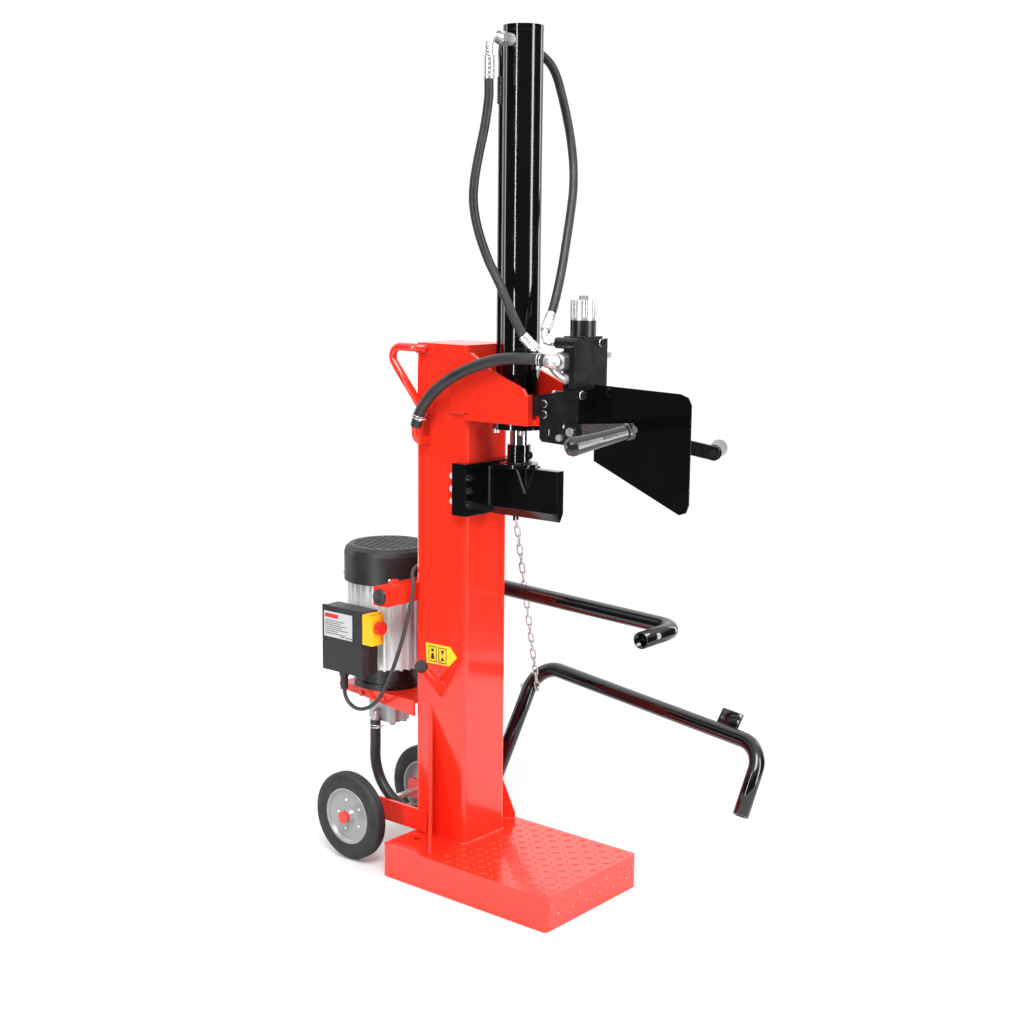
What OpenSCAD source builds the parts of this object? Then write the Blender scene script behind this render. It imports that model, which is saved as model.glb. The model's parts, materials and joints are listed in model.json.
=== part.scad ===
// Vertical electro-hydraulic log splitter with log lifter and support arm.
// Millimetres, +Z up, front (log side) = -Y, motor and wheels = +Y.
// Origin: on the floor, under the middle of the base plate.

/* [Base] */
// Width of the base box along X
base_w = 326; // [316:1:340]
// Depth of the base box along Y
base_d = 472; // [472:1:476]
// Height of the base box
base_h = 76; // [76:1:76]
// Sheet thickness of the base box
base_wall = 5; // [4:0.5:6]
// Diameter of the floor anchor holes
anchor_d = 12; // [10:0.5:14]

/* [Column] */
// Width of the column along X
col_w = 140; // [140:1:140]
// Wall thickness of the column
col_wall = 5; // [4:0.5:8]
// Height of the column top above the floor
col_top = 1201; // [1199:1:1205]

/* [Cylinder] */
// Outer diameter of the cylinder barrel
barrel_d = 84; // [82:1:86]
// Diameter of the piston rod
rod_d = 40; // [30:1:40]
// Height of the cylinder top above the floor
barrel_top = 1860; // [1850:1:1870]

/* [Wheels] */
// Diameter of the tyres
wheel_d = 206; // [190:1:208]
// Width of the tyres
wheel_w = 34; // [28:1:36]
// Diameter of the axle
axle_d = 16; // [12:1:18]

/* [Tubes] */
// Outer diameter of the support arm and the log lifter tube
arm_d = 36; // [32:1:36]
// Wall thickness of those tubes
arm_wall = 3; // [2:0.5:4]

/* [Wedge] */
// Thickness of the splitting blade
blade_t = 22; // [18:1:24]
// Height of the sharpened edge
blade_bevel = 18; // [12:1:24]

/* [Motor] */
// Outer radius of the cooling fins
fin_r = 96; // [90:1:97]
// Number of cooling fins
fins = 30; // [20:1:36]

/* [Hidden] */

$fn = 48;
cx = 18;                        // centre line of column, cylinder and blade
cyl_y = -3;                     // cylinder axis
col_y0 = 87;
col_y1 = 236;
col_x0 = cx - col_w / 2;
col_x1 = cx + col_w / 2;
axle_y = 362;
axle_z = wheel_d / 2 + 2;
wheel_xl = -155;                // outer face of the left wheel
wheel_xr = 141;                 // outer face of the right wheel
mot_y = 388;
red = "#d8261c";
black = "#1c1c1e";
steel = "#b9bcc0";
piv = [183, 215, 98];           // log lifter hinge, axis along Y
lift_a = 57;                    // lifter angle above the floor
lev_y = -194;                   // lever pivots, axis along X
lev_z = 1037;
tilt_left = 7;                   // left lever stands above level
tilt_right = -12.5;              // right lever hangs below level
grip_droop = 8;                  // grips droop below the bars
splay = 25.8;                    // bars splay outwards
bolt_x = -31.5;                  // clear of the wing of the bracket
bolt_z = 1112;                   // long bolt through bracket and cover

// hand-chosen routes
return_pts = [[-56, -136, 1179], [-60, -116, 1181], [-67, -84, 1182], [-76, -34, 1179],
    [-84, 25, 1164], [-90, 81, 1141], [-92, 130, 1112], [-93, 164, 1082], [-92, 187, 1052],
    [-90, 200, 1022]];
upper_pts = [[-92, -3, 1744], [-92, -3, 1708], [-97, 3, 1650], [-106, 10, 1595], [-112, 17, 1540],
    [-109, 21, 1493], [-98, 17, 1440], [-85, 2, 1384], [-79, -12, 1354],
    [-75, -28, 1323], [-71, -43, 1290], [-65, -57, 1258], [-59, -72, 1228]];
lower_pts = [[38, 52, 1826], [53, 39, 1827.5], [69, 26, 1824], [84, 13, 1815.5], [98, 2, 1803],
    [109, -8, 1786], [118, -15, 1763], [124, -20, 1738], [129, -25, 1712], [136, -31, 1674],
    [139, -39, 1630], [135, -49, 1579], [121, -60, 1530], [98, -71, 1478], [71, -82, 1421],
    [44, -92, 1363], [15, -100, 1306], [-7, -106, 1273]];
suction_pts = [[-29, 388, 304], [-29, 388, 276], [-29, 388, 248], [-30, 388, 220], [-30, 384, 192],
    [-30, 373, 165], [-30, 355, 142], [-30, 332, 124], [-30, 305, 113], [-30, 277, 109],
    [-30, 258, 109]];
cable_pts = [[-100, 419, 390], [-100, 416.5, 375.5], [-100, 409, 363], [-99, 398, 354],
    [-99, 384, 349.5], [-99, 368, 349.5], [-98, 352, 354], [-97, 337, 362], [-96, 318, 378],
    [-94, 300, 402], [-92, 283, 436], [-89, 256, 500], [-84, 235, 572],
    [-80, 227, 616], [-77, 223, 642], [-72, 225, 664], [-64, 235, 681], [-49, 243.5, 691],
    [-22, 251, 696], [22, 270, 692], [50, 281, 681], [67, 287, 667], [77, 290, 649],
    [81, 291, 628], [80, 289, 603], [75, 285, 578], [70, 283, 557]];
pressure_pts = [[92, -132, 1158], [101, -108, 1143], [109, -76, 1122], [113, -40, 1103],
    [115, 0, 1090], [115, 100, 1080], [115, 180, 1060], [115, 222, 1030],
    [115, 252, 975], [115, 264, 860], [118, 284, 740], [121, 314, 620], [121, 330, 470],
    [119, 341, 410], [112, 354, 368],
    [98, 366, 332]];
handle_pts = [[-61.2, 196, 1190], [-61.2, 322, 1190], [-61.2, 196, 1042]];
arm_pts = [[78, 257, 640], [133, 257, 640], [133, -347, 616], [-3, -347, 616]];
lift_pts = [[22, 0, 0], [350, 0, 0], [274, -665, 0], [114, -665, 0]];

// ---------- helpers ----------
// rounded rectangle outline, three steps in each corner
function rr(w, d, r) = [for (c = [[1, 1, 0], [-1, 1, 90], [-1, -1, 180], [1, -1, 270]],
    i = [0:3]) [c[0] * (w / 2 - r) + r * cos(c[2] + i * 30),
                c[1] * (d / 2 - r) + r * sin(c[2] + i * 30)]];
function unit(v) = v / norm(v);
// one rounded corner of a route, radius r, n steps
function corner(a, b, c, r, n) =
    let (u = unit(a - b), v = unit(c - b), half = acos(u * v) / 2, d = r / tan(half),
         m = b + unit(u + v) * r / sin(half), p = b + u * d - m, q = b + v * d - m,
         w = 180 - 2 * half)
    [for (i = [0:n]) let (t = i / n) m + (p * sin((1 - t) * w) + q * sin(t * w)) / sin(w)];
function rounded(p, r, n) = [for (i = [0:len(p) - 1]) each
    (i == 0 || i == len(p) - 1) ? [p[i]] : corner(p[i - 1], p[i], p[i + 1], r, n)];
function tang(p, i) = unit(p[min(i + 1, len(p) - 1)] - p[max(i - 1, 0)]);
// ring directions carried along the route without twist
function sides(p, i, v) = let (t = tang(p, i), w = unit(v - (v * t) * t))
    i == len(p) - 1 ? [w] : concat([w], sides(p, i + 1, w));
function rings(p, r, k) = let (s = sides(p, 0, [0.31, 0.52, 0.79]))
    [for (i = [0:len(p) - 1], j = [0:k - 1])
        let (t = tang(p, i), a = 360 * j / k)
        p[i] + r * (s[i] * cos(a) + cross(t, s[i]) * sin(a))];
function skin(n, k, o, f) = [for (i = [0:n - 2], j = [0:k - 1])
    let (a = o + i * k + j, b = o + i * k + (j + 1) % k)
    f ? [a, b, b + k, a + k] : [a + k, b + k, b, a]];
module solid_tube(p, r, k = 10) {
    n = len(p);
    polyhedron(rings(p, r, k), concat(skin(n, k, 0, false),
        [[for (j = [0:k - 1]) j], [for (j = [k - 1:-1:0]) (n - 1) * k + j]]), convexity = 6);
}
module hollow_tube(p, r, wall, k = 16) {
    n = len(p);
    m = n * k;
    polyhedron(concat(rings(p, r, k), rings(p, r - wall, k)),
        concat(skin(n, k, 0, false), skin(n, k, m, true),
        [for (j = [0:k - 1]) let (q = (j + 1) % k) [j, q, m + q, m + j]],
        [for (j = [0:k - 1]) let (q = (j + 1) % k, e = (n - 1) * k)
            [m + e + j, m + e + q, e + q, e + j]]), convexity = 8);
}
// plate parallel to the Y-Z plane from a list of [y, z]
module yz_plate(x0, t, pts) {
    translate([x0, 0, 0]) rotate([90, 0, 90]) linear_extrude(t) polygon(pts);
}
module tube_x(x0, x1, y, z, r) { translate([x0, y, z]) rotate([0, 90, 0]) cylinder(h = x1 - x0, r = r); }
module tube_y(x, y0, y1, z, r) { translate([x, y1, z]) rotate([90, 0, 0]) cylinder(h = y1 - y0, r = r); }
module hex_x(x0, x1, y, z, af) {
    translate([x0, y, z]) rotate([0, 90, 0]) cylinder(h = x1 - x0, d = af / cos(30), $fn = 6);
}
module hex_y(x, y0, y1, z, af) {
    translate([x, y1, z]) rotate([90, 0, 0]) cylinder(h = y1 - y0, d = af / cos(30), $fn = 6);
}

// ---------- base and column ----------
module anchor_holes(z0, h, d) {
    for (x = [-90, 126]) translate([x, 197, z0]) cylinder(h = h, d = d);
}
module base_plate() {
    color(red) difference() {
        linear_extrude(6) polygon(rr(base_w, base_d, 10));
        anchor_holes(-1, 8, anchor_d);
    }
}
module base_box() {
    color(red) difference() {
        translate([0, 0, 6]) linear_extrude(base_h - 6) polygon(rr(base_w, base_d, 10));
        translate([0, 0, 5]) linear_extrude(base_h - 5 - base_wall)
            polygon(rr(base_w - 2 * base_wall, base_d - 2 * base_wall, 6));
        anchor_holes(base_h - 10, 20, anchor_d + 4);
    }
}
module base() {
    base_plate();
    base_box();
}
module column_tube() {
    color(red) difference() {
        translate([cx, (col_y0 + col_y1) / 2, base_h]) linear_extrude(col_top - 4 - base_h)
            polygon(rr(col_w, col_y1 - col_y0, 9));
        translate([cx, (col_y0 + col_y1) / 2, base_h - 1]) linear_extrude(col_top)
            polygon(rr(col_w - 2 * col_wall, col_y1 - col_y0 - 2 * col_wall, 5));
    }
}
module column_cap() {
    color(red) translate([cx, (col_y0 + col_y1) / 2, col_top - 4]) linear_extrude(4)
        polygon(rr(col_w, col_y1 - col_y0, 9));
}
module column() {
    column_tube();
    column_cap();
}
// corner brace: triangular plate standing on the base, from inner to outer point
module brace(inner, outer, h) {
    d = outer - inner;
    L = norm(d);
    translate([inner[0], inner[1], base_h]) rotate([0, 0, atan2(d[1], d[0])])
        rotate([90, 0, 0]) translate([0, 0, -3]) linear_extrude(6)
        polygon([[-12, 0], [L, 0], [L, 14], [0, h], [-12, h]]);
}
module gusset_left() {
    color(red) difference() {
        brace([col_x0, 189], [-149, 104], 308);
        translate([col_x0, col_y0, base_h]) cube([col_w, col_y1 - col_y0, 400]);
    }
}
module gusset_right() {
    color(red) difference() {
        brace([col_x1, 189], [153, 106], 308);
        translate([col_x0, col_y0, base_h]) cube([col_w, col_y1 - col_y0, 400]);
    }
}
module gussets() {
    gusset_left();
    gusset_right();
}
module head_sides() {
    color(red) for (s = [0, 1]) {
        yz_plate(s == 0 ? col_x0 - 8 : col_x1, 8, [[128, 1056], [128, 1186], [70, 1186],
            [18, 1154], [-74, 1118], [-82, 1106], [-82, 1053], [66, 1053], [80, 1056]]);
        translate([s == 0 ? col_x0 - 8 : col_x1 - 7.7, -88, 1053]) cube([15.7, 6, 53]);
    }
}
module head_bottom() {
    color(red) {
        difference() {
            translate([0, 0, 1041]) linear_extrude(12) polygon([[col_x0 - 8, col_y0],
                [col_x0 - 8, -88], [-38, -88], [-38, -126], [74, -126], [74, -88],
                [col_x1 + 8, -88], [col_x1 + 8, col_y0]]);
            translate([cx, cyl_y, 1040]) cylinder(h = 14, d = rod_d + 6);
            at_flange_bolts() translate([0, 0, 1040]) cylinder(h = 14, d = 9);
        }
        // lugs that carry the valve bracket
        for (x = [-38, 58]) translate([x, -126, 1053]) cube([16, 32, 47]);
    }
}
module head() {
    head_sides();
    head_bottom();
}
module handle() { color(red) solid_tube(rounded(handle_pts, 22, 6), 9, 12); }

// ---------- axle and wheels ----------
module axle_brackets() {
    color(red) for (x = [col_x0 - 8, col_x1]) difference() {
        yz_plate(x, 8, [[196, 80], [384, 80], [392, 88], [392, 122], [384, 130], [196, 130]]);
        tube_x(x - 1, x + 9, axle_y, axle_z, axle_d / 2 + 0.05);
    }
}
module axle() { color(steel) tube_x(wheel_xl - 8, wheel_xr + 8, axle_y, axle_z, axle_d / 2); }
module axle_caps() {
    color(red) for (s = [0, 1]) difference() {
        tube_x(s == 0 ? wheel_xl - 10 : wheel_xr + 1, s == 0 ? wheel_xl - 1 : wheel_xr + 10,
            axle_y, axle_z, 14);
        tube_x(s == 0 ? wheel_xl - 8 : wheel_xr - 9, s == 0 ? wheel_xl + 9 : wheel_xr + 8,
            axle_y, axle_z, axle_d / 2);
    }
}
// wheel parts are drawn with the outer face at x = 0 and the body towards +X
module at_wheel(side) {
    if (side == 0) translate([wheel_xl, axle_y, axle_z]) children();
    else translate([wheel_xr, axle_y, axle_z]) mirror([1, 0, 0]) children();
}
module tyre(side) {
    r = wheel_d / 2;
    w = wheel_w;
    color(black) at_wheel(side) rotate([0, 90, 0]) rotate_extrude($fn = 96)
        polygon([[66, 3], [90, 0], [r - 5, 3], [r, 9], [r, w - 9], [r - 5, w - 3], [90, w], [66, w - 3]]);
}
module rim(side) {
    w = wheel_w;
    color(steel) at_wheel(side) difference() {
        rotate([0, 90, 0]) rotate_extrude($fn = 96) polygon([[8.08, 0], [16, 0], [16, 13], [30, 15],
            [44, 12], [58, 12], [61, 4], [66, 3], [66, w - 3], [61, w - 4], [58, 17], [44, 17],
            [30, 20], [16, 21], [16, w], [8.08, w]]);
        for (a = [0:72:359]) rotate([a, 0, 0]) translate([10, 0, 37]) rotate([0, 90, 0])
            cylinder(h = 12, d = 6.5, $fn = 24);
    }
}

// ---------- cylinder ----------
module at_flange_bolts() {
    for (a = [45:90:359]) translate([cx + 50 * cos(a), cyl_y + 50 * sin(a), 0]) children();
}
module barrel_tube() {
    color(black) {
        difference() {
            translate([cx, cyl_y, 1053]) cylinder(h = barrel_top - 12 - 1053, d = barrel_d, $fn = 72);
            translate([cx, cyl_y, 1050]) cylinder(h = barrel_top, d = 70, $fn = 72);
        }
        difference() {
            translate([cx, cyl_y, 1053]) cylinder(h = 30, d = 69.9, $fn = 72);
            translate([cx, cyl_y, 1050]) cylinder(h = 40, d = rod_d + 0.1, $fn = 72);
        }
    }
}
module barrel_cap() {
    color(black) translate([cx, cyl_y, barrel_top - 12]) cylinder(h = 12, d = barrel_d + 1, $fn = 72);
}
module barrel() {
    barrel_tube();
    barrel_cap();
}
module flange() {
    color(black) difference() {
        translate([cx, cyl_y, 1025]) cylinder(h = 16, d = 116, $fn = 72);
        translate([cx, cyl_y, 1020]) cylinder(h = 30, d = rod_d + 0.1, $fn = 72);
        at_flange_bolts() translate([0, 0, 1020]) cylinder(h = 30, d = 8.2);
    }
}
module flange_bolts() {
    color(steel) at_flange_bolts() {
        translate([0, 0, 1015]) cylinder(h = 9.9, d = 14, $fn = 24);
        translate([0, 0, 1024.8]) cylinder(h = 37, d = 8);
        translate([0, 0, 1053]) cylinder(h = 8, d = 15, $fn = 6);
    }
}
module piston() {
    color(steel) difference() {
        translate([cx, cyl_y, 1762]) cylinder(h = 32, d = 69.9, $fn = 72);
        translate([cx, cyl_y, 1760]) cylinder(h = 36, d = 24);
    }
}
module rod() {
    color("#e4e6e8") translate([cx, cyl_y, 0]) {
        translate([0, 0, 955]) cylinder(h = 807, d = rod_d, $fn = 72);
        translate([0, 0, 1761]) cylinder(h = 36, d = 24);
    }
}
module rod_coupling() {
    color(black) {
        difference() {
            translate([cx, cyl_y, 941]) union() {
                cylinder(h = 8, d = 84);
                cylinder(h = 49, d = rod_d + 11);
            }
            translate([cx, cyl_y, 955]) cylinder(h = 50, d = rod_d);
            tube_y(cx, -40, 40, 968, 5);
        }
        tube_y(cx, -36, -24, 968, 4.9);
        tube_y(cx, -35, -29, 968, 8);
    }
}
// hard line up the back of the barrel, with the crimp and bent end of the lower hose on top
module pipe() {
    color(black) {
        solid_tube([[10, 48, 1120], [10, 48, 1400], [10, 48, 1704]], 7, 12);
        difference() {
            tube_y(10, 34, 57, 1116, 9);
            translate([cx, cyl_y, 1000]) cylinder(h = 300, d = barrel_d, $fn = 72);
        }
        translate([10, 48, 1704]) cylinder(h = 56, r = 9);
        solid_tube([[10, 48, 1760], [10, 48, 1790], [12, 51, 1809], [19, 55, 1821], [28, 56, 1826],
            [38, 52, 1826]], 8, 12);
    }
}
// port, elbow and ferrule of the upper hose at the top of the barrel
module top_elbow() {
    difference() {
        tube_x(-40, cx - barrel_d / 2 + 2, cyl_y, 1828, 13);
        translate([cx, cyl_y, 1800]) cylinder(h = 60, d = barrel_d, $fn = 72);
    }
    hex_x(-62, -40, cyl_y, 1828, 26);
    solid_tube(rounded([[-62, -3, 1828], [-92, -3, 1828], [-92, -3, 1790]], 20, 5), 8, 12);
    translate([-92, -3, 1744]) cylinder(h = 46, r = 11.5);
}

// ---------- carriage with blade ----------
car_x0 = -73;
car_x1 = 109;
module carriage_plate() {
    color(black) {
        translate([car_x0, 70, 833]) cube([car_x1 - car_x0, 12, 114]);
        for (x = [car_x0, car_x1 - 16]) translate([x, 82, 833]) cube([16, 28, 114]);
        // socket heads of the carriage bolts
        for (z = [862, 890, 918], x = [car_x0 + 8.5, car_x1 - 8.5]) difference() {
            tube_y(x, 62, 70, z, 8);
            hex_y(x, 60, 66, z, 7);
        }
        // eye for the chain
        difference() {
            translate([92, 70, 804]) cube([17, 3, 29.5]);
            tube_y(101, 65, 80, 815, 5.5);
        }
    }
}
module slide_pads() {
    color("#e9e6da") {
        translate([car_x0 + 16, 82, 838]) cube([col_x0 - 0.4 - car_x0 - 16, 27, 104]);
        translate([col_x1 + 0.4, 82, 838]) cube([car_x1 - 16 - col_x1 - 0.4, 27, 104]);
        for (x = [col_x0 + 14, col_x1 - 44]) translate([x, 82, 838]) cube([30, 4.6, 104]);
    }
}
module carriage_bolts() {
    color(steel) for (z = [862, 890, 918], x = [car_x0 + 8.5, car_x1 - 8.5]) {
        hex_y(x, 110, 118, z, 13);
        tube_y(x, 118, 121, z, 4);
    }
}
module blade() {
    color(black) {
        translate([cx, 70, 0]) rotate([90, 0, 0]) linear_extrude(187)
            polygon([[-blade_t / 2, 941], [blade_t / 2, 941], [blade_t / 2, 831 + blade_bevel],
                [0.8, 831], [-0.8, 831], [-blade_t / 2, 831 + blade_bevel]]);
        // gussets under the coupling plate, one on each side
        for (k = [0, 1]) translate([cx, -26, 0]) mirror([k, 0, 0]) rotate([90, 0, 0])
            linear_extrude(6) polygon([[blade_t / 2, 941], [blade_t / 2 + 28, 941], [blade_t / 2, 886]]);
    }
}
// long-link chain from the hook plate down to the lifter
chain_a = [101, 71.5, 810.5];
chain_b = [339.3, 190.7, 334.4];
chain_n = 20;
module link(len, wid, wire) {
    k = 6;
    n = 14;
    r = wid / 2 - wire / 2;
    s = len / 2 - wire / 2 - r;
    c = [for (i = [0:n - 1]) let (a = 360 * (i + 0.5) / n)
        [r * cos(a), 0, r * sin(a) + (sin(a) > 0 ? s : -s)]];
    polyhedron([for (i = [0:n - 1], j = [0:k - 1])
        let (t = unit(c[(i + 1) % n] - c[(i + n - 1) % n]), b = 360 * j / k, o = cross(t, [0, 1, 0]))
        c[i] + wire / 2 * (o * cos(b) + [0, 1, 0] * sin(b))],
        [for (i = [0:n - 1], j = [0:k - 1])
        let (i2 = (i + 1) % n, j2 = (j + 1) % k) [i * k + j, i2 * k + j, i2 * k + j2, i * k + j2]],
        convexity = 4);
}
module chain() {
    d = chain_b - chain_a;
    L = norm(d);
    p = L / chain_n;
    color("#c9c6bd") for (i = [0:chain_n - 1]) translate(chain_a + d * (i + 0.5) / chain_n)
        rotate([0, acos(d[2] / L), atan2(d[1], d[0])])
        rotate([0, 0, i % 2 == 0 ? 90 : 0]) link(p + 7.6, 15, 3.6);
}

// ---------- valve, bracket, guard and levers ----------
module valve_bracket() {
    wing = [[-204, 1124], [-204, 1030], [-190, 1007], [-114, 1010], [-107, 1017],
        [-107, 1062], [-84, 1062], [-84, 1103]];
    color(black) difference() {
        union() {
            yz_plate(-44, 6, wing);
            yz_plate(74, 6, wing);
            translate([-44, -204, 1010]) cube([124, 6, 114]);
        }
        for (x = [-45, 73]) {
            for (z = [1067, 1089]) tube_x(x, x + 8, -118, z, 4.5);
            tube_x(x - 2, x + 12, lev_y, lev_z, 5.05);
            tube_y(bolt_x, -210, -190, bolt_z, 4.6);
            translate([x, -133, 1024]) cube([8, 6, 13]);
            translate([x, -172, 1042]) cube([8, 8, 13]);
        }
    }
    // bolts that hold the wings on the lugs
    color(black) for (x = [-50, 80]) for (z = [1067, 1089]) difference() {
        tube_x(x, x + 6, -118, z, 7);
        tube_x(x < 0 ? x - 1 : x + 3, x < 0 ? x + 3 : x + 7, -118, z, 3.5);
    }
}
module valve() {
    color("#2a2b2e") difference() {
        union() {
            translate([-12, -198, 1080]) cube([60, 55, 149]);
            // round boss of the return port, and the port of the lower hose beside the top
            tube_x(-24, -11, -154, 1178, 21);
            tube_y(-33, -198, -142, 1216, 11.5);
            translate([-33, -194, 1208]) cube([24, 46, 18]);
            translate([cx, -170, 1229]) cylinder(h = 33, r = 27);
        }
        translate([-2, -172, 1075]) cylinder(h = 75, r = 7.05);
    }
}
module valve_cap() {
    color("#d5d7da") {
        translate([cx, -170, 1262]) difference() {
            cylinder(h = 41, r = 27);
            for (a = [0:45:359]) rotate([0, 0, a]) translate([30, 0, 6]) cylinder(h = 40, r = 6, $fn = 24);
        }
    }
    color(black) translate([cx, -170, 1303]) cylinder(h = 9, d = 19, $fn = 6);
}
module valve_cover() {
    color("#2b2b2d") {
        translate([-49.5, -201, 1126]) cube([111.5, 3, 98]);
        translate([-49.5, -198, 1126]) cube([3, 12, 76]);
        difference() {
            tube_y(41, -208, -201, 1216, 7);
            hex_y(41, -209, -204, 1216, 6);
        }
        // long bolt through bracket and guard
        difference() {
            tube_y(bolt_x, -214, -207, bolt_z, 7.5);
            hex_y(bolt_x, -215, -210, bolt_z, 6);
        }
        tube_y(bolt_x, -207, -140, bolt_z, 4.5);
    }
}
module hose_fittings() {
    color(steel) {
        top_elbow();
        // return elbow
        hex_x(-46, -24, -154, 1178, 34);
        solid_tube(rounded([[-46, -154, 1178], [-58, -154, 1178], [-56, -136, 1179]], 9, 5), 14.5, 12);
        // elbow of the lower hose
        solid_tube([[-33, -111, 1240], [-40, -113, 1227], [-42, -118, 1219], [-38, -128, 1216],
            [-33, -136, 1216], [-33, -142, 1216]], 7, 12);
        // nipple of the upper hose
        hex_x(-26, -12, -158, 1142, 20);
        solid_tube([[-42, -98, 1198], [-36, -110, 1187], [-32, -122, 1172], [-30, -136, 1156],
            [-28, -148, 1147], [-26, -158, 1142]], 8, 12);
        // relief valve cap on the far side
        tube_x(48, 84, -184, 1190, 12);
        // pressure elbow on the far side
        hex_x(48, 66, -160, 1150, 20);
        solid_tube(rounded([[66, -160, 1150], [84, -158, 1153], [92, -132, 1158]], 12, 4), 8, 12);
        // crimped ferrules
        solid_tube([[-59, -72, 1228], [-50, -84, 1212], [-42, -98, 1198]], 11.5, 12);
        solid_tube([[-7, -106, 1273], [-20, -108.5, 1256.5], [-33, -111, 1240]], 11, 12);
    }
}
module spool() { color(steel) translate([-2, -172, 1046]) cylinder(h = 96, r = 7); }
module guard() {
    color(black) yz_plate(cx - 1.5, 3, [[-204, 1131], [-236, 1130], [-414, 1125], [-432, 1119],
        [-440, 1104], [-440, 904], [-434, 888], [-418, 882], [-204, 972]]);
    color(black) difference() {
        translate([-44, -207, 1012]) cube([cx + 42.5, 3, 112]);
        tube_y(bolt_x, -210, -200, bolt_z, 4.6);
    }
}
// levers: flat bar on the bracket, then splayed 26 degrees outwards
module lever_bar() {
    translate([0, 0, -15]) linear_extrude(30) polygon([[-0.3, 16], [-0.3, -30], [-93.1, -222],
        [-98.7, -219.3], [-6.3, -28.3], [-6.3, 16]]);
}
// frame of a lever: origin on its pivot, bar on the -X side
module at_lever(side, tilt) {
    translate([side == 0 ? -44 : 80, lev_y, lev_z]) mirror([side, 0, 0]) rotate([-tilt, 0, 0])
        children();
}
// grip axis, +Z outwards from the outer face of the bar
module at_grip() {
    translate([-93.2, -208, 0]) rotate([0, 0, -splay]) rotate([0, -90 - grip_droop, 0]) children();
}
module lever(side, tilt) {
    color(black) at_lever(side, tilt) difference() {
        lever_bar();
        tube_x(-10, 2, 0, 0, 5.05);
        at_grip() translate([0, 0, -15]) cylinder(h = 22, r = 5.1);
        // clipped corners at both ends
        for (z = [15, -15]) {
            translate([-95.9, -220.7, z]) rotate([0, 0, -splay]) rotate([45, 0, 0])
                cube([20, 8, 8], center = true);
            translate([-3, 16, z]) rotate([45, 0, 0]) cube([10, 8, 8], center = true);
        }
    }
}
module grip(side, tilt) {
    at_lever(side, tilt) at_grip() {
        color(black) rotate_extrude() polygon([[0, -7.4], [5, -7.4], [5, 2.6], [17, 2.6], [17, 7],
            [13.5, 8], [15.5, 66], [19, 122], [18.6, 128], [15, 135], [8, 139], [0, 140]]);
        color(steel) translate([0, 0, -13.6]) cylinder(h = 6.2, d = 17, $fn = 6);
    }
}
// lever pins with their heads, and the small zinc bolts and nuts of the bracket
module lever_pins() {
    color(steel) {
        for (s = [0, 1]) {
            x = s == 0 ? -56 : 72;
            tube_x(x, x + 20, lev_y, lev_z, 5);
            tube_x(s == 0 ? -56 : 86.6, s == 0 ? -50.6 : 92, lev_y, lev_z, 9);
            hex_x(s == 0 ? -51 : 80, s == 0 ? -44 : 87, -162, 1022, 13);
        }
        tube_y(bolt_x, -140, -133, bolt_z, 5.5);
    }
}

// ---------- hoses, tank fittings, filler ----------
module hose_upper() { color(black) solid_tube(upper_pts, 9.5, 10); }
module hose_lower() { color(black) solid_tube(lower_pts, 9.5, 10); }
module hose_return() { color(black) solid_tube(return_pts, 12.5, 10); }
module hose_pressure() { color(black) solid_tube(pressure_pts, 9.5, 10); }
module hose_suction() { color(black) solid_tube(suction_pts, 12.5, 10); }
module tank_fittings() {
    color(red) {
        // return nipple on the left face
        difference() {
            solid_tube(rounded([[-48, 199, 988], [-90, 199, 992], [-90, 200, 1022]], 14, 5), 10, 12);
            translate([col_x0, 150, 900]) cube([60, 80, 200]);
        }
        // suction stub on the rear face
        tube_y(-30, col_y1, 258, 109, 10);
        // filler neck, 45 degrees up from the left face
        difference() {
            translate([-42, 159, 418]) rotate([0, -45, 0]) difference() {
                cylinder(h = 99, r = 12.5);
                translate([0, 0, 30]) cylinder(h = 80, r = 9.4);
            }
            translate([col_x0, 120, 350]) cube([80, 80, 200]);
        }
    }
}
module filler_cap() {
    color(black) translate([-42, 159, 418]) rotate([0, -45, 0]) {
        translate([0, 0, 99.4]) cylinder(h = 13, r = 14);
        translate([0, 0, 70]) cylinder(h = 30, r = 9.34);
    }
}

// ---------- support arm and log lifter ----------
module arm_socket() {
    color(red) difference() {
        translate([-146, col_y1, 619]) cube([236, 42, 42]);
        tube_x(-150, 100, 257, 640, arm_d / 2 + 0.1);
        translate([-99, 257, 650]) cylinder(h = 20, r = 5.05);
    }
    color(steel) translate([-99, 257, 661]) cylinder(h = 3, r = 11);
    color(black) {
        translate([-99, 257, 664]) cylinder(h = 8, d = 19, $fn = 6);
        translate([-99, 257, 659]) cylinder(h = 6, r = 5);
    }
}
module arm_stem() {
    color(black) difference() {
        tube_x(-152, 88, 257, 640, arm_d / 2);
        tube_x(-146, 90, 257, 640, arm_d / 2 - arm_wall);
    }
}
module support_arm() {
    arm_stem();
    arm_loop();
}
module arm_loop() {
    // a shade slimmer than the stem it is pushed into
    color(black) hollow_tube(rounded(arm_pts, 42, 7), arm_d / 2 - 0.1, arm_wall, 16);
}
module lifter_hinge() {
    color(red) for (y = [184, 237]) difference() {
        translate([base_w / 2, y, 44]) rotate([90, 0, 0]) linear_extrude(8) polygon([[0, 0], [8, 0],
            [33, 38], [36, 50], [36, 64], [30, 72], [8, 72], [0, 64]]);
        tube_y(piv[0], y - 10, y + 2, piv[2], 7.05);
    }
    color(steel) {
        tube_y(piv[0], 172, 241, piv[2], 7);
        tube_y(piv[0], 170, 175.7, piv[2], 11);
        tube_y(piv[0], 237.3, 243, piv[2], 11);
    }
}
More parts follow.
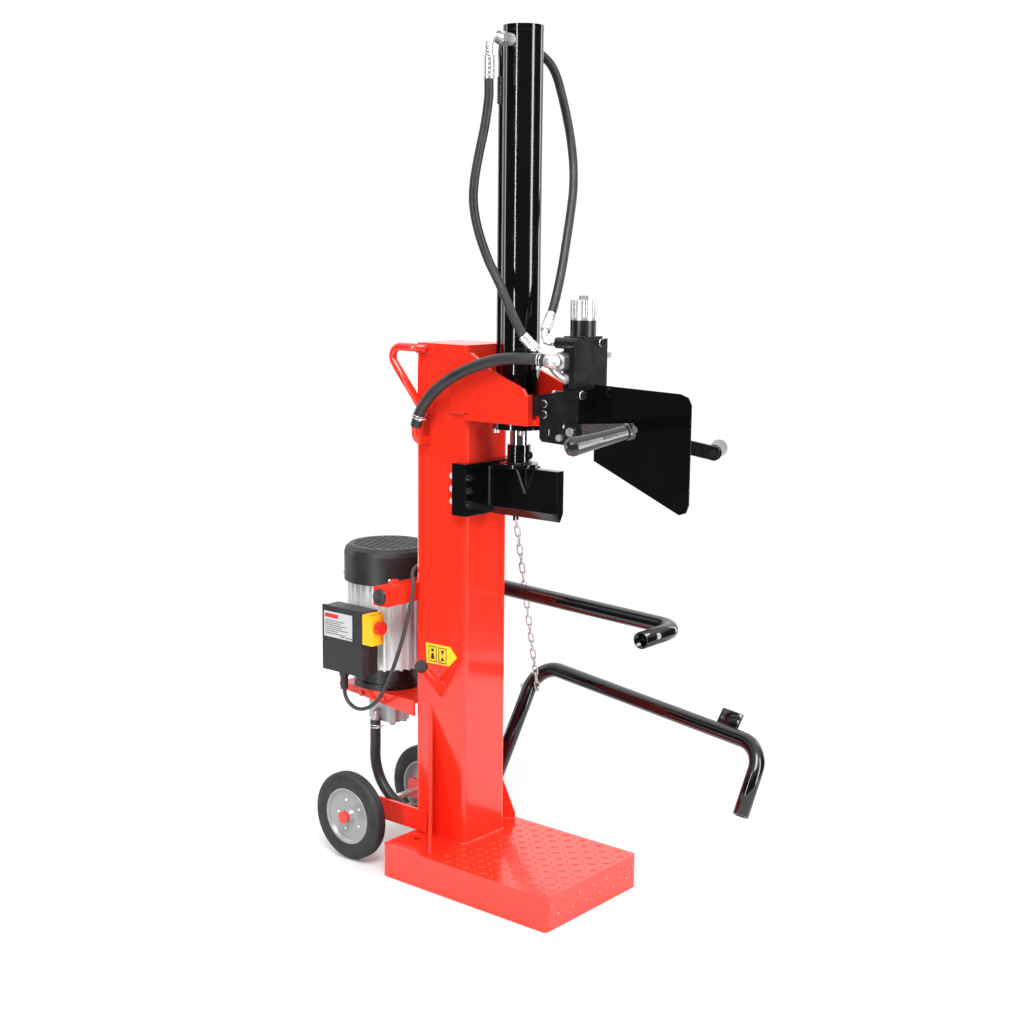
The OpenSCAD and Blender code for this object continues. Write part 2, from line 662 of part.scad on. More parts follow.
module lifter_tube() {
    translate(piv) rotate([0, -lift_a, 0]) {
        color(black) {
            hollow_tube(rounded(lift_pts, 62, 8), arm_d / 2, arm_wall, 16);
            // stop tab on the long run
            translate([286, -560, 0]) rotate([0, 0, -6.5]) translate([15, -28, -3]) cube([38, 56, 6]);
            difference() {
                union() {
                    tube_y(0, -30.4, 13.4, 0, 15);
                    translate([6, -28, -12]) cube([20, 40, 24]);
                }
                tube_y(0, -40, 30, 0, 7.08);
            }
        }
        color(steel) {
            tube_y(285, -30.4, 24, 0, 2.7);
            hex_y(285, 18, 25, 0, 15);
            tube_y(285, -33.4, -30.4, 0, 7);
        }
    }
}

// ---------- motor, pump and switch ----------
module motor_bracket() {
    color(red) {
        difference() {
            translate([cx - 78, col_y1, 379]) cube([156, 240, 8]);
            translate([cx, mot_y, 370]) cylinder(h = 30, r = 41);
        }
        for (x = [cx - 78, cx + 72]) yz_plate(x, 6, [[col_y1, 350], [col_y1, 379], [470, 379],
            [470, 372], [410, 368]]);
    }
    color(black) for (y = [330, 400]) tube_x(cx - 84, cx - 78, y, 373, 6);
}
module motor_flange() {
    color(black) difference() {
        union() {
            translate([cx, mot_y, 387]) cylinder(h = 14, r = 82);
            translate([cx, mot_y, 401]) cylinder(h = 36, r = 78);
        }
        translate([cx, mot_y, 380]) cylinder(h = 70, r = 12.1);
        translate([cx, mot_y, 395]) cylinder(h = 60, r = 60);
    }
}
module motor_body() {
    color("#c3c6c9") {
        difference() {
            translate([cx, mot_y, 437]) linear_extrude(203) polygon([for (i = [0:fins - 1], j = [0:3])
                let (a = 360 * i / fins, w = 360 / fins)
                let (b = a + w * [0, 0.28, 0.34, 0.94][j], r = [fin_r, fin_r, 84, 84][j])
                r * [cos(b), sin(b)]]);
            translate([cx, mot_y, 430]) cylinder(h = 220, r = 74);
        }
    }
    color("#8c5a2c") difference() {
        translate([cx, mot_y, 470]) cylinder(h = 130, r = 74);
        translate([cx, mot_y, 460]) cylinder(h = 150, r = 46);
    }
}
module motor_cover() {
    color(black) difference() {
        translate([cx, mot_y, 640]) rotate_extrude($fn = 96) polygon([[13, 0], [104, 0], [104, 66],
            [101, 76], [92, 84], [0, 84], [0, 80], [90, 80], [98, 72], [100, 62], [100, 4], [13, 4]]);
        for (i = [-6:6]) translate([cx + i * 12.5 - 3, mot_y - sqrt(82 * 82 - i * i * 156), 710])
            cube([6, 2 * sqrt(82 * 82 - i * i * 156), 20]);
    }
}
module rotor() {
    color(steel) translate([cx, mot_y, 0]) {
        translate([0, 0, 350]) cylinder(h = 331, r = 12);
        translate([0, 0, 480]) cylinder(h = 110, r = 45.4);
    }
    color("#33363a") translate([cx, mot_y, 0]) {
        translate([0, 0, 660]) cylinder(h = 30, r = 24);
        for (a = [0:45:359]) rotate([0, 0, a]) translate([20, -1.5, 662]) cube([66, 3, 30]);
        translate([0, 0, 658]) cylinder(h = 4, r = 86);
    }
}
module pump() {
    color("#9b9ea2") {
        translate([cx, mot_y, 342]) difference() {
            cylinder(h = 45, r = 40.5);
            translate([0, 0, 4]) cylinder(h = 50, r = 30);
        }
        translate([cx, mot_y, 300]) linear_extrude(42) polygon(rr(70, 92, 22));
        // pressure port
        hex_x(53, 66, mot_y, 322, 22);
    }
    color(black) for (x = [-20, 20], y = [-30, 30]) translate([cx + x, mot_y + y, 292])
        cylinder(h = 8, d = 13, $fn = 24);
}
module pump_elbows() {
    color("#9b9ea2") {
        solid_tube(rounded([[-17, 388, 322], [-29, 388, 322], [-29, 388, 304]], 8, 4), 9.5, 12);
        solid_tube(rounded([[66, 388, 322], [88, 388, 322], [98, 366, 332]], 12, 4), 9, 12);
    }
}
module switch_box() {
    color("#3a3c3f") {
        difference() {
            translate([-122, 332, 439]) cube([44, 127, 149]);
            translate([-122.5, 337, 444]) cube([39.5, 117, 139]);
            translate([-119, 325, 520]) cube([24, 10, 58]);
        }
        translate([-128, 332, 437]) cube([6, 129, 153]);
        difference() {
            translate([-79, 352, 450]) cube([20, 72, 120]);
            translate([cx, mot_y, 440]) cylinder(h = 140, r = fin_r);
        }
    }
    color("#dedede") translate([-129, 361, 516]) cube([1, 94, 62]);
    color(black) {
        for (y = [338, 453], z = [446, 508, 582]) translate([-128, y, z]) rotate([0, -90, 0])
            cylinder(h = 1.6, r = 3.4, $fn = 24);
        translate([-100, 419, 421]) cylinder(h = 18, d = 24, $fn = 6);
        translate([-100, 419, 390]) difference() {
            cylinder(h = 31, r = 9);
            translate([0, 0, -1]) cylinder(h = 25, r = 4.55);
        }
    }
}
module switch_frame() {
    color("#e8b21c") difference() {
        translate([-127, 309, 515]) cube([37, 23, 70]);
        translate([-123, 300, 519]) cube([29, 40, 62]);
    }
    // outer knuckles of the flap hinge
    color("#e8b21c") for (x = [-126, -100]) {
        tube_x(x, x + 9, 309, 588.3, 2.6);
        translate([x, 309, 584]) cube([9, 2.6, 4]);
    }
    color("#2c2e30") difference() {
        translate([-123, 325, 519]) cube([29, 6, 62]);
        tube_y(-108.5, 320, 340, 532, 8.1);
    }
}
module switch_flap() {
    color("#f0bd22") difference() {
        translate([-127, 301, 515]) cube([37, 7.6, 70]);
        translate([-108.5, 290, 556]) rotate([-90, 0, 0]) cylinder(h = 30, r = 5.1);
    }
    // middle knuckle of the hinge
    color("#f0bd22") {
        tube_x(-116.7, -100.3, 309, 588.3, 2.6);
        translate([-116.7, 306.4, 584]) cube([16.4, 2.2, 4]);
    }
}
module stop_knob() {
    color("#d8322a") {
        translate([-108.5, 298, 556]) rotate([90, 0, 0]) cylinder(h = 12, r = 15);
        translate([-108.5, 312, 556]) rotate([90, 0, 0]) cylinder(h = 15, r = 5);
    }
}
module start_button() { color("#3c9a46") tube_y(-108.5, 318, 331, 532, 8); }
module motor_terminal() {
    color("#3a3c3f") {
        difference() {
            translate([44, 268, 470]) cube([42, 28, 70]);
            translate([cx, mot_y, 460]) cylinder(h = 90, r = fin_r);
        }
        translate([70, 283, 540]) difference() {
            cylinder(h = 16, r = 9);
            translate([0, 0, 2]) cylinder(h = 20, r = 4.5);
        }
    }
}
module electric_boxes() {
    switch_box();
    motor_terminal();
}
module cable() { color("#3b3d40") solid_tube(cable_pts, 4.5, 10); }

base();
column();
gussets();
lifter_hinge();
axle_brackets();
axle();
axle_caps();
tyre(0);  // wheel_left_tyre
rim(0);  // wheel_left_rim
tyre(1);  // wheel_right_tyre
rim(1);  // wheel_right_rim
head();
handle();
barrel();
flange();
flange_bolts();
pipe();
piston();
rod();
rod_coupling();
carriage_plate();
slide_pads();
carriage_bolts();
blade();
chain();
valve_bracket();
valve();
valve_cap();
valve_cover();
hose_fittings();
spool();
guard();
lever_pins();
lever(0, tilt_left);  // lever_left
grip(0, tilt_left);  // grip_left
lever(1, tilt_right);  // lever_right
grip(1, tilt_right);  // grip_right
hose_upper();
hose_lower();
hose_return();
hose_pressure();
hose_suction();
tank_fittings();
filler_cap();
arm_socket();
support_arm();
lifter_tube();
motor_bracket();
motor_flange();
motor_body();
motor_cover();
electric_boxes();
rotor();
pump();
pump_elbows();
switch_frame();
switch_flap();
stop_knob();
start_button();
cable();
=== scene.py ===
"""Looks for the vertical log splitter: camera, hoses, materials and fine detail around the CAD frame.

Everything is in metres in the CAD frame: +Z up, log side -Y, motor side +Y. Routes are given in millimetres.
"""
import json
import math
import random

import bpy
from mathutils import Matrix, Vector


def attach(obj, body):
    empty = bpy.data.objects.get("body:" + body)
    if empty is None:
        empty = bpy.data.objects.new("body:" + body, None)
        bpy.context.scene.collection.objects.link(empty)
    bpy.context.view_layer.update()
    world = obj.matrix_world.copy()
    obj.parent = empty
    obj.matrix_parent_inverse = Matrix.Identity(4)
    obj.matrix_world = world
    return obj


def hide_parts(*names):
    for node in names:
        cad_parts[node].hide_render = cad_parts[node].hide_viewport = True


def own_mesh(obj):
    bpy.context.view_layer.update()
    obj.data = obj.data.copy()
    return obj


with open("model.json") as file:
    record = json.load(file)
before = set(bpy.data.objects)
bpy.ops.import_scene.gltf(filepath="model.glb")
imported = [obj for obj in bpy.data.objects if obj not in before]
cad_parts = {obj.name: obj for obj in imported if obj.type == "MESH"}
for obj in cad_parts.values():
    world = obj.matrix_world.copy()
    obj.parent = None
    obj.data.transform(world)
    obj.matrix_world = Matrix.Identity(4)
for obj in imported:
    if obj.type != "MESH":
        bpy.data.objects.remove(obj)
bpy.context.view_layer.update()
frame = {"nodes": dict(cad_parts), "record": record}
nodes = frame["nodes"]
rng = random.Random(7)


# ---------- camera, floor and light ----------

def add_camera():
    data = bpy.data.cameras.new("camera")
    data.lens = 54.39
    data.sensor_width = 36
    data.dof.use_dof = False
    camera = bpy.data.objects.new("camera", data)
    bpy.context.collection.objects.link(camera)
    camera.location = (-2.5573, -2.0950, 1.4009)
    camera.rotation_euler = [math.radians(a) for a in (80.422, -0.574, -50.575)]
    bpy.context.scene.camera = camera


def add_area(name, place, target, size, power):
    data = bpy.data.lights.new(name, "AREA")
    data.shape = "RECTANGLE"
    data.size, data.size_y = size
    data.energy = power
    lamp = bpy.data.objects.new(name, data)
    bpy.context.collection.objects.link(lamp)
    lamp.location = place
    lamp.rotation_euler = (Vector(target) - Vector(place)).to_track_quat("-Z", "Y").to_euler()
    lamp.visible_camera = False


def add_floor():
    """A pale round floor."""
    radius, sides = 1.9, 96
    turns = [2 * math.pi * j / sides for j in range(sides)]
    verts = [(radius * math.cos(turn), radius * math.sin(turn), -0.0005) for turn in turns]
    mesh = bpy.data.meshes.new("floor")
    mesh.from_pydata(verts, [], [tuple(range(sides))])
    floor = bpy.data.objects.new("floor", mesh)
    bpy.context.collection.objects.link(floor)
    white = material("floor_white", (0.66, 0.66, 0.66), 0.7, tint=0.003, bump=0.0)
    shader = white.node_tree.nodes["Principled BSDF"]
    shader.inputs["Specular IOR Level"].default_value = 0.0
    shader.inputs["Emission Color"].default_value = (1, 1, 1, 1)
    shader.inputs["Emission Strength"].default_value = 0.06
    floor.data.materials.append(white)


ROOM_FRONT = 0.05    # world strength on the camera's side and at the sides
ROOM_BACK = 1.0      # behind the machine, where the backdrop is
ROOM_TOP = 1.5       # ceiling


def add_world():
    """White backdrop for the camera; elsewhere a room that is bright behind and above the machine."""
    world = bpy.data.worlds.new("studio")
    bpy.context.scene.world = world
    world.use_nodes = True
    tree = world.node_tree
    room = tree.nodes["Background"]
    room.inputs["Color"].default_value = (1, 1, 1, 1)
    backdrop = tree.nodes.new("ShaderNodeBackground")
    backdrop.inputs["Color"].default_value = (1, 1, 1, 1)
    backdrop.inputs["Strength"].default_value = 1.05
    coords = tree.nodes.new("ShaderNodeTexCoord")

    def toward(direction, low, high, dim, bright):
        dot = tree.nodes.new("ShaderNodeVectorMath")
        dot.operation = "DOT_PRODUCT"
        dot.inputs[1].default_value = direction
        tree.links.new(coords.outputs["Generated"], dot.inputs[0])
        return remap(tree, dot.outputs["Value"], low, high, dim, bright)

    total = tree.nodes.new("ShaderNodeMath")
    total.operation = "ADD"
    tree.links.new(toward((0.776, 0.631, 0.0), 0.4, 0.8, ROOM_FRONT, ROOM_BACK), total.inputs[0])
    tree.links.new(toward((0.0, 0.0, 1.0), 0.3, 0.9, 0.0, ROOM_TOP), total.inputs[1])
    tree.links.new(total.outputs["Value"], room.inputs["Strength"])
    path = tree.nodes.new("ShaderNodeLightPath")
    mix = tree.nodes.new("ShaderNodeMixShader")
    tree.links.new(path.outputs["Is Camera Ray"], mix.inputs["Fac"])
    tree.links.new(room.outputs["Background"], mix.inputs[1])
    tree.links.new(backdrop.outputs["Background"], mix.inputs[2])
    tree.links.new(mix.outputs["Shader"], tree.nodes["World Output"].inputs["Surface"])


def add_stage():
    add_floor()
    add_world()
    add_area("key", (-2.4, -1.9, 4.3), (0, 0, 0.8), (2.2, 2.2), 190)
    add_area("thin_strip", (-3.0, -0.1, 1.3), (0, 0, 1.2), (0.13, 3.4), 52)
    add_area("wide_strip", (0.41, -2.97, 1.3), (0, 0, 1.2), (0.6, 3.4), 85)
    add_area("rim_right", (2.8, -0.9, 1.4), (0, 0, 1.1), (0.4, 2.8), 18)
    add_area("rim_left", (-0.9, 2.8, 1.4), (0, 0, 1.0), (0.5, 2.8), 18)
    bpy.context.scene.view_settings.view_transform = "Standard"


# ---------- materials ----------

finishes = {}


def noise(tree, scale, detail=4.0, rough=0.55, stretch=None):
    """A noise texture on object coordinates, stretched along an axis if asked."""
    coords = tree.nodes.new("ShaderNodeTexCoord")
    texture = tree.nodes.new("ShaderNodeTexNoise")
    texture.inputs["Scale"].default_value = scale
    texture.inputs["Detail"].default_value = detail
    texture.inputs["Roughness"].default_value = rough
    if stretch:
        mapping = tree.nodes.new("ShaderNodeMapping")
        mapping.inputs["Scale"].default_value = stretch
        tree.links.new(coords.outputs["Object"], mapping.inputs["Vector"])
        tree.links.new(mapping.outputs["Vector"], texture.inputs["Vector"])
    else:
        tree.links.new(coords.outputs["Object"], texture.inputs["Vector"])
    return texture.outputs["Fac"]


def remap(tree, value, low, high, to_low, to_high):
    node = tree.nodes.new("ShaderNodeMapRange")
    tree.links.new(value, node.inputs["Value"])
    for name, number in (("From Min", low), ("From Max", high), ("To Min", to_low), ("To Max", to_high)):
        node.inputs[name].default_value = number
    return node.outputs["Result"]


def blend_colors(tree, factor, first, second):
    mix = tree.nodes.new("ShaderNodeMix")
    mix.data_type = "RGBA"
    tree.links.new(factor, mix.inputs["Factor"])
    for socket, color in ((mix.inputs["A"], first), (mix.inputs["B"], second)):
        if isinstance(color, tuple):
            socket.default_value = (*color, 1)
        else:
            tree.links.new(color, socket)
    return mix.outputs["Result"]


def edge_mask(tree, radius):
    """1 along sharp edges, 0 on flat ground."""
    bevel = tree.nodes.new("ShaderNodeBevel")
    bevel.samples = 4
    bevel.inputs["Radius"].default_value = radius
    geometry = tree.nodes.new("ShaderNodeNewGeometry")
    dot = tree.nodes.new("ShaderNodeVectorMath")
    dot.operation = "DOT_PRODUCT"
    tree.links.new(bevel.outputs["Normal"], dot.inputs[0])
    tree.links.new(geometry.outputs["Normal"], dot.inputs[1])
    return remap(tree, dot.outputs["Value"], 0.97, 0.8, 0.0, 1.0)


def material(name, color, rough, metal=0.0, tint=0.06, tint_scale=5.0, vary=0.08, bump=0.08,
             grain=600.0, stretch=None, coat=0.0, edge=0.0, worn=None, ripple=0.0):
    """Principled material with mottled colour and roughness, fine grain, rounded and worn edges."""
    if name in finishes:
        return finishes[name]
    # the frame brings flat materials with the slots' own names, so these get names of their own
    made = finishes[name] = bpy.data.materials.new("finish_" + name)
    made.use_nodes = True
    made.diffuse_color = (*color, 1)
    tree = made.node_tree
    shader = tree.nodes["Principled BSDF"]
    shader.inputs["Metallic"].default_value = metal
    shader.inputs["Coat Weight"].default_value = coat
    shader.inputs["Coat Roughness"].default_value = 0.06
    dark = tuple(c * (1 - tint) for c in color)
    light = tuple(min(1, c * (1 + tint) + tint * 0.01) for c in color)
    tone = blend_colors(tree, remap(tree, noise(tree, tint_scale), 0.3, 0.7, 0, 1), dark, light)
    if worn:
        patchy = tree.nodes.new("ShaderNodeMath")
        patchy.operation = "MULTIPLY"
        tree.links.new(edge_mask(tree, 0.0015), patchy.inputs[0])
        tree.links.new(remap(tree, noise(tree, 60.0), 0.42, 0.68, 0, 0.8), patchy.inputs[1])
        tone = blend_colors(tree, patchy.outputs["Value"], tone, worn)
    tree.links.new(tone, shader.inputs["Base Color"])
    gloss = noise(tree, 22.0, 6.0, 0.6, stretch)
    tree.links.new(remap(tree, gloss, 0.3, 0.7, max(0.02, rough - vary), rough + vary),
                   shader.inputs["Roughness"])
    normal = None
    if edge:
        bevel = tree.nodes.new("ShaderNodeBevel")
        bevel.samples = 4
        bevel.inputs["Radius"].default_value = edge
        normal = bevel.outputs["Normal"]
    for strength, scale, depth in ((bump, grain, 0.0006), (ripple, 28.0, 0.004)):
        if strength:
            node = tree.nodes.new("ShaderNodeBump")
            node.inputs["Strength"].default_value = strength
            node.inputs["Distance"].default_value = depth
            tree.links.new(noise(tree, scale, 3.0, 0.5, stretch), node.inputs["Height"])
            if normal:
                tree.links.new(normal, node.inputs["Normal"])
            normal = node.outputs["Normal"]
    if normal:
        tree.links.new(normal, shader.inputs["Normal"])
    return made


def slot_material(slot):
    """The finish of each material slot of the record."""
    table = {
        "red_paint": dict(color=(0.78, 0.026, 0.01), rough=0.2, tint=0.05, vary=0.05, bump=0.04,
                          grain=500, coat=0.35, edge=0.0016, worn=(0.86, 0.1, 0.06), ripple=0.05),
        "black_paint": dict(color=(0.0022, 0.0022, 0.003), rough=0.11, tint=0.08, vary=0.04, bump=0.03,
                            coat=0.25, edge=0.0014, worn=(0.03, 0.03, 0.033), ripple=0.03),
        "satin_black": dict(color=(0.005, 0.005, 0.006), rough=0.3, tint=0.1, vary=0.08, bump=0.1,
                            edge=0.001, worn=(0.07, 0.07, 0.075)),
        "chrome_rod": dict(color=(0.86, 0.87, 0.88), rough=0.09, metal=1.0, tint=0.03, vary=0.04,
                           bump=0.03, stretch=(1, 1, 0.05)),
        "zinc": dict(color=(0.78, 0.78, 0.78), rough=0.28, metal=0.8, tint=0.1, tint_scale=40, vary=0.12,
                     bump=0.1, edge=0.0006),
        "chain_zinc": dict(color=(0.6, 0.59, 0.57), rough=0.36, metal=0.7, tint=0.18, tint_scale=60,
                           vary=0.14, bump=0.15, edge=0.0003),
        "rim_grey": dict(color=(0.3, 0.31, 0.32), rough=0.36, metal=0.3, tint=0.08, vary=0.1, bump=0.1,
                         edge=0.0008, worn=(0.7, 0.71, 0.72)),
        "tyre": dict(color=(0.011, 0.011, 0.012), rough=0.62, tint=0.25, tint_scale=18, vary=0.12,
                     bump=0.3, grain=900, worn=(0.06, 0.06, 0.06)),
        "hose_rubber": dict(color=(0.016, 0.016, 0.017), rough=0.42, tint=0.25, tint_scale=30, vary=0.1,
                            bump=0.25, grain=1400),
        "cable_rubber": dict(color=(0.03, 0.031, 0.033), rough=0.45, tint=0.15, vary=0.08, bump=0.12,
                             grain=1200),
        "grip": dict(color=(0.012, 0.012, 0.013), rough=0.2, tint=0.2, vary=0.08, bump=0.12, grain=700,
                     coat=0.2),
        "black_plastic": dict(color=(0.01, 0.01, 0.011), rough=0.42, tint=0.2, vary=0.08, bump=0.35,
                              grain=900, edge=0.0012),
        "box_plastic": dict(color=(0.018, 0.0185, 0.02), rough=0.46, tint=0.15, vary=0.08, bump=0.4,
                            grain=800, edge=0.0012, worn=(0.09, 0.09, 0.095)),
        "motor_alu": dict(color=(0.82, 0.83, 0.84), rough=0.38, metal=0.55, tint=0.1, tint_scale=14,
                          vary=0.1, bump=0.3, grain=700, edge=0.0006),
        "pump_alu": dict(color=(0.45, 0.46, 0.47), rough=0.45, metal=0.6, tint=0.12, vary=0.1, bump=0.35,
                         grain=600, edge=0.0008),
        "valve_alu": dict(color=(0.62, 0.62, 0.62), rough=0.32, metal=0.8, tint=0.06, tint_scale=30,
                          vary=0.1, bump=0.12, edge=0.0006, stretch=(1, 1, 0.08)),
        "pad_plastic": dict(color=(0.8, 0.78, 0.7), rough=0.5, tint=0.05, bump=0.15),
        "copper": dict(color=(0.5, 0.24, 0.11), rough=0.4, metal=0.5, tint=0.2, tint_scale=60, bump=0.3),
        "yellow_plastic": dict(color=(0.9, 0.48, 0.015), rough=0.32, tint=0.05, vary=0.06, bump=0.12,
                               edge=0.0012, coat=0.2),
        "red_plastic": dict(color=(0.72, 0.02, 0.012), rough=0.3, tint=0.06, vary=0.05, bump=0.08,
                            edge=0.0012, coat=0.2),
        "green_plastic": dict(color=(0.03, 0.3, 0.06), rough=0.3, tint=0.06, vary=0.05, bump=0.08),
    }
    return material(slot, **table[slot])


def paint_frame():
    """The procedural finish of its slot on every CAD node."""
    for part in frame["record"]["subparts"]:
        node = nodes[part["node"]]
        if not node.material_slots:
            node.data.materials.append(None)
        for place in node.material_slots:
            place.material = slot_material(part["material_slot"])


# ---------- mesh helpers ----------

def add_piece(name, verts, faces, slot, body, replaces=(), smooth=True, finish=None):
    mesh = bpy.data.meshes.new(name)
    mesh.from_pydata([tuple(v) for v in verts], [], faces)
    mesh.update()
    if smooth:
        mesh.shade_smooth()
    piece = bpy.data.objects.new(name, mesh)
    bpy.context.collection.objects.link(piece)
    mesh.materials.append(finish or slot_material(slot))
    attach(piece, body)
    if replaces:
        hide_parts(*replaces)
    return piece


def mm(*point):
    return Vector(point) / 1000


def rounded(points, radius, steps=8):
    """The route with each corner rounded to the radius, all in the points' own unit."""
    out = [points[0]]
    for before, corner, after in zip(points, points[1:], points[2:]):
        u, v = (before - corner).normalized(), (after - corner).normalized()
        half = u.angle(v) / 2
        centre = corner + (u + v).normalized() * radius / math.sin(half)
        start = corner + u * radius / math.tan(half) - centre
        end = corner + v * radius / math.tan(half) - centre
        for i in range(steps + 1):
            t = i / steps
            out.append(centre + start.slerp(end, t).normalized() * radius)
    return out + [points[-1]]


def smooth_route(points, steps=6):
    """Catmull-Rom curve through the points."""
    p = [points[0] * 2 - points[1], *points, points[-1] * 2 - points[-2]]
    out = []
    for a, b, c, d in zip(p, p[1:], p[2:], p[3:]):
        for i in range(steps):
            t = i / steps
            out.append(0.5 * (2 * b + (c - a) * t + (2 * a - 5 * b + 4 * c - d) * t * t
                              + (3 * b - a - 3 * c + d) * t ** 3))
    return out + [points[-1]]


def sweep(points, radius, sides=24, ends="flat", closed=False):
    """A tube along the points. radius is a number or one per point; ends are flat or open."""
    count = len(points)
    radii = radius if isinstance(radius, list) else [radius] * count
    verts, faces = [], []
    axis = Vector((0.31, 0.52, 0.79))
    for i, point in enumerate(points):
        before = points[i - 1] if closed else points[max(i - 1, 0)]
        after = points[(i + 1) % count] if closed else points[min(i + 1, count - 1)]
        along = (after - before).normalized()
        axis = (axis - along * axis.dot(along)).normalized()
        other = along.cross(axis)
        for j in range(sides):
            turn = 2 * math.pi * j / sides
            verts.append(point + radii[i] * (axis * math.cos(turn) + other * math.sin(turn)))
    for i in range(count if closed else count - 1):
        k = (i + 1) % count
        for j in range(sides):
            q = (j + 1) % sides
            faces.append((i * sides + j, i * sides + q, k * sides + q, k * sides + j))
    if ends == "flat" and not closed:
        faces.append(tuple(range(sides - 1, -1, -1)))
        faces.append(tuple((count - 1) * sides + j for j in range(sides)))
    return verts, faces


def hollow(points, radius, wall, sides=28):
    """A thin-walled tube with open ends."""
    outer, skin = sweep(points, radius, sides, "open")
    inner, lining = sweep(points, radius - wall, sides, "open")
    n, last = len(outer), (len(points) - 1) * sides
    faces = skin + [tuple(n + a for a in reversed(face)) for face in lining]
    for j in range(sides):
        q = (j + 1) % sides
        faces.append((j, n + j, n + q, q))
        faces.append((last + q, n + last + q, n + last + j, last + j))
    return outer + inner, faces


def join(*shapes):
    verts, faces = [], []
    for more, over in shapes:
        base = len(verts)
        verts += list(more)
        faces += [tuple(base + a for a in face) for face in over]
    return verts, faces


def moved(shape, matrix):
    return [matrix @ Vector(v) for v in shape[0]], shape[1]


def block(low, high, chamfer=0.0):
    """A box between two corners with chamfered edges."""
    (x0, y0, z0), (x1, y1, z1) = low, high
    c = chamfer
    rings = [(z0, c), (z0 + c, 0), (z1 - c, 0), (z1, c)] if c else [(z0, 0), (z1, 0)]
    verts = []
    for z, inset in rings:
        a, b, d, e = x0 + inset, x1 - inset, y0 + inset, y1 - inset
        verts += [(a + c, d, z), (b - c, d, z), (b, d + c, z), (b, e - c, z),
                  (b - c, e, z), (a + c, e, z), (a, e - c, z), (a, d + c, z)]
    faces = [tuple(range(7, -1, -1)), tuple((len(rings) - 1) * 8 + j for j in range(8))]
    for i in range(len(rings) - 1):
        for j in range(8):
            q = (j + 1) % 8
            faces.append((i * 8 + j, i * 8 + q, (i + 1) * 8 + q, (i + 1) * 8 + j))
    return verts, faces


def lathe(profile, sides=64, closed=True):
    """Revolve (radius, height) points about Z."""
    verts = [(r * math.cos(2 * math.pi * j / sides), r * math.sin(2 * math.pi * j / sides), h)
             for r, h in profile for j in range(sides)]
    rows = len(profile)
    faces = []
    for i in range(rows if closed else rows - 1):
        k = (i + 1) % rows
        for j in range(sides):
            q = (j + 1) % sides
            faces.append((i * sides + j, i * sides + q, k * sides + q, k * sides + j))
    return verts, faces


def circle(radius, lift):
    """32 points round Z at a height."""
    turns = [a * math.pi / 16 for a in range(32)]
    return [Vector((radius * math.cos(turn), radius * math.sin(turn), lift)) for turn in turns]


def along(start, end):
    """Matrix that puts the Z axis at start, pointing at end."""
    turn = (Vector(end) - Vector(start)).to_track_quat("Z", "Y").to_matrix().to_4x4()
    return Matrix.Translation(start) @ turn


# ---------- hoses and lead ----------

RETURN_HOSE = [(-56, -136, 1179), (-60, -116, 1181), (-67, -84, 1182), (-76, -34, 1179),
               (-84, 25, 1164), (-90, 81, 1141), (-92, 130, 1112), (-93, 164, 1082), (-92, 187, 1052),
               (-90, 200, 1022)]
UPPER_HOSE = [(-92, -3, 1744), (-92, -3, 1708), (-97, 3, 1650), (-106, 10, 1595), (-112, 17, 1540),
              (-109, 21, 1493), (-98, 17, 1440), (-85, 2, 1384), (-79, -12, 1354), (-75, -28, 1323),
              (-71, -43, 1290), (-65, -57, 1258), (-59, -72, 1228)]
LOWER_HOSE = [(38, 52, 1826), (53, 39, 1827.5), (69, 26, 1824), (84, 13, 1815.5), (98, 2, 1803),
              (109, -8, 1786), (118, -15, 1763), (124, -20, 1738), (129, -25, 1712), (136, -31, 1674),
              (139, -39, 1630), (135, -49, 1579), (121, -60, 1530), (98, -71, 1478), (71, -82, 1421),
              (44, -92, 1363), (15, -100, 1306), (-7, -106, 1273)]
SUCTION_HOSE = [(-29, 388, 304), (-29, 388, 276), (-29, 388, 248), (-30, 388, 220), (-30, 384, 192),
                (-30, 373, 165), (-30, 355, 142), (-30, 332, 124), (-30, 305, 113), (-30, 277, 109),
                (-30, 258, 109)]
PRESSURE_HOSE = [(92, -132, 1158), (101, -108, 1143), (109, -76, 1122), (113, -40, 1103),
                 (115, 0, 1090), (115, 100, 1080), (115, 180, 1060), (115, 222, 1030), (115, 252, 975),
                 (115, 264, 860), (118, 284, 740), (121, 314, 620), (121, 330, 470), (119, 341, 410),
                 (112, 354, 368), (98, 366, 332)]
LEAD = [(-100, 419, 390), (-100, 416.5, 375.5), (-100, 409, 363), (-99, 398, 354), (-99, 384, 349.5),
        (-99, 368, 349.5), (-98, 352, 354), (-97, 337, 362), (-96, 318, 378), (-94, 300, 402),
        (-92, 283, 436), (-89, 256, 500), (-84, 235, 572), (-80, 227, 616), (-77, 223, 642),
        (-72, 225, 664), (-64, 235, 681), (-49, 243.5, 691), (-22, 251, 696), (22, 270, 692),
        (50, 281, 681), (67, 287, 667), (77, 290, 649), (81, 291, 628), (80, 289, 603), (75, 285, 578),
        (70, 283, 557)]


def add_hose(name, node, route, radius, slot="hose_rubber"):
    data = bpy.data.curves.new(name, "CURVE")
    data.dimensions = "3D"
    data.bevel_depth = radius
    data.bevel_resolution = 6
    data.use_fill_caps = True
    points = smooth_route([mm(*p) for p in route], 4)
    spline = data.splines.new("POLY")
    spline.points.add(len(points) - 1)
    for place, point in zip(spline.points, points):
        place.co = (*point, 1)
    piece = bpy.data.objects.new(name, data)
    bpy.context.collection.objects.link(piece)
    data.materials.append(slot_material(slot))
    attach(piece, "frame")
    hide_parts(node)


